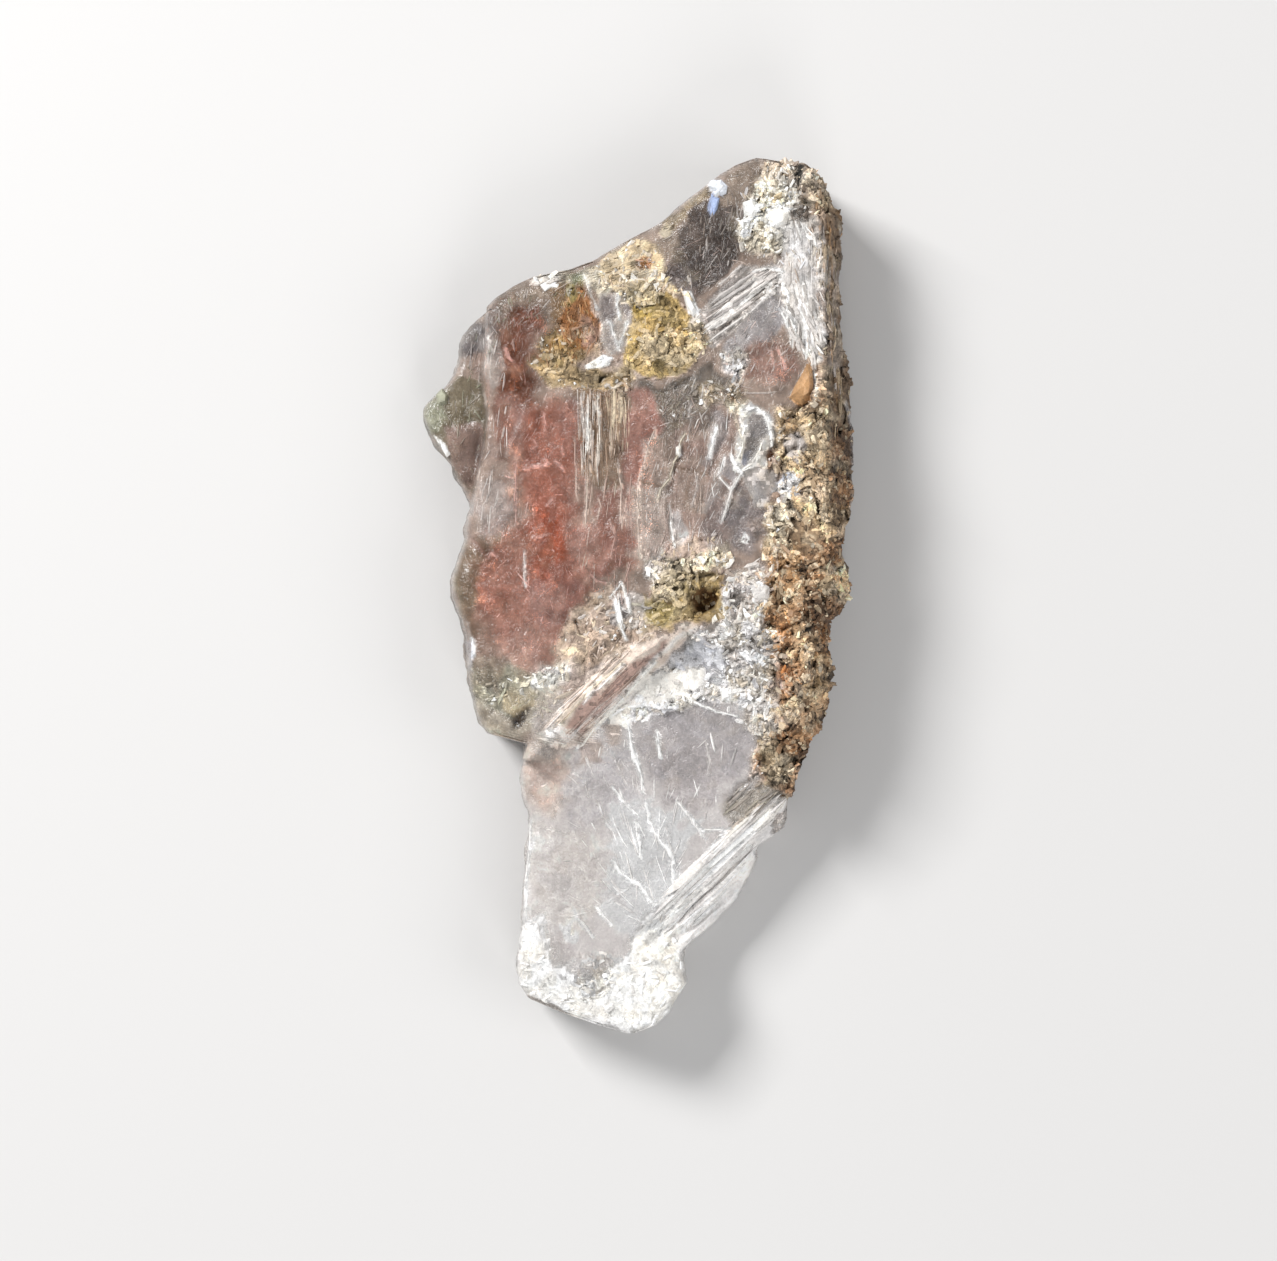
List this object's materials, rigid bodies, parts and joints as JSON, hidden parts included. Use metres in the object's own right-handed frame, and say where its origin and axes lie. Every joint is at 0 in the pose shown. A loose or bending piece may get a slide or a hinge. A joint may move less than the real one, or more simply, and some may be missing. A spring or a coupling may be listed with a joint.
{
  "type": "native copper in selenite specimen",
  "caption": "Clear grey selenite blade holding reddish leaves of native copper, with sandy ochre clay along one side; lies flat on its back cleavage face.",
  "frame": {"origin": "bottom centre of the specimen as it lies on its back cleavage face", "axes": "+X across the blade to the clay side, +Y along the blade to its pointed tip, +Z out of the shown face"},
  "size_m": [0.0348, 0.07, 0.0108],
  "materials": {
    "selenite": "clear to milky selenite, silky on its cleavage steps",
    "native_copper": "bright to tarnished native copper in thin hackly leaves and flecks",
    "sandy_clay": "grainy brown to tan sandy clay",
    "ochre_clay": "olive to ochre earthy clay",
    "cream_clay": "cream crumbly sandy clay"
  },
  "bodies": {
    "root": {"selenite_front": "selenite", "selenite_back": "selenite", "native_copper_main": "native_copper", "native_copper_right": "native_copper", "native_copper_lower": "native_copper", "sandy_clay_ridge": "sandy_clay", "ochre_clay_upper": "ochre_clay", "ochre_clay_pit": "ochre_clay", "sandy_clay_step": "cream_clay"}
  },
  "joints": []
}
